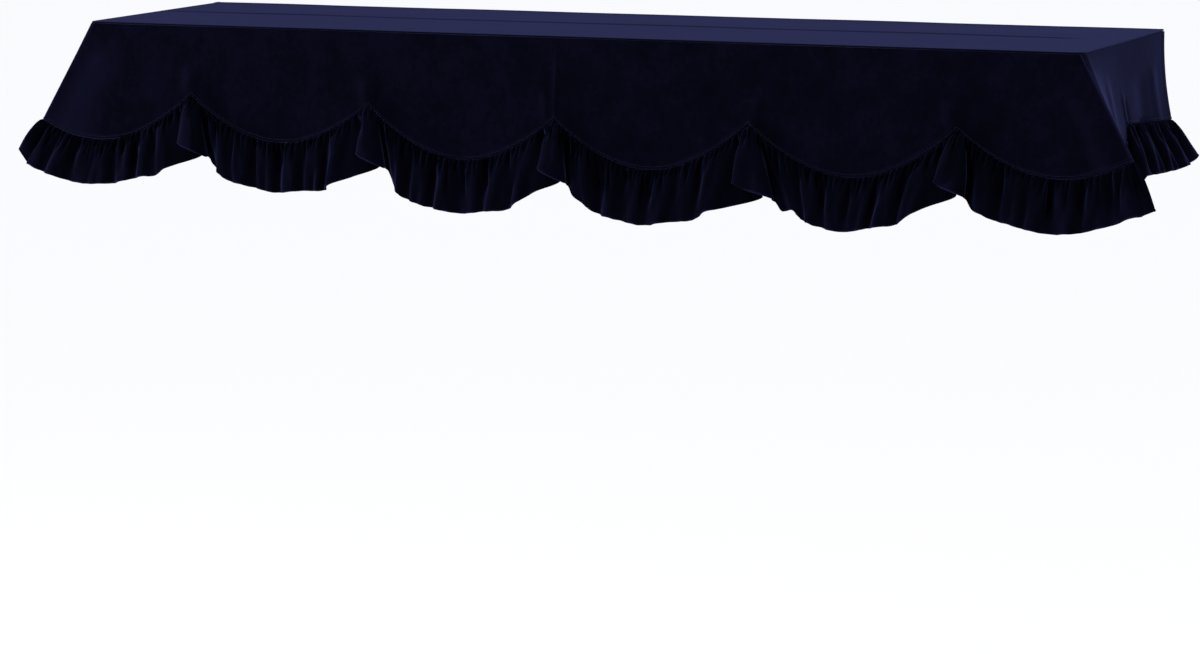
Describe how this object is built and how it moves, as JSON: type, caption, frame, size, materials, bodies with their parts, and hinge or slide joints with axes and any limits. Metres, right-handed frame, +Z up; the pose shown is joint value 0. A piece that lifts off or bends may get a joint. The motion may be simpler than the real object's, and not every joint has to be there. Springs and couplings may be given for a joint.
{
  "type": "piano top cover",
  "caption": "Dark velvet cover for the top of an upright piano: flat top, drops at the front and both ends, scalloped edge with a gathered frill.",
  "frame": {"origin": "centre of the top panel's underside, where it lies on the lid", "axes": "+X to the right along the lid, -Y to the front with the scalloped panel, +Z up"},
  "size_m": [1.752, 0.4642, 0.2573],
  "materials": {
    "velvet_top": "cotton velvet, pile lit from above",
    "velvet_panel": "cotton velvet, matt with a soft sheen at its turns",
    "velvet_frill": "cotton velvet, gathered, narrow rolled hem"
  },
  "bodies": {
    "root": {"top_panel": "velvet_top", "front_panel": "velvet_panel", "side_panel_left": "velvet_panel", "side_panel_right": "velvet_panel", "frill_front": "velvet_frill", "frill_left": "velvet_frill", "frill_right": "velvet_frill"}
  },
  "joints": []
}
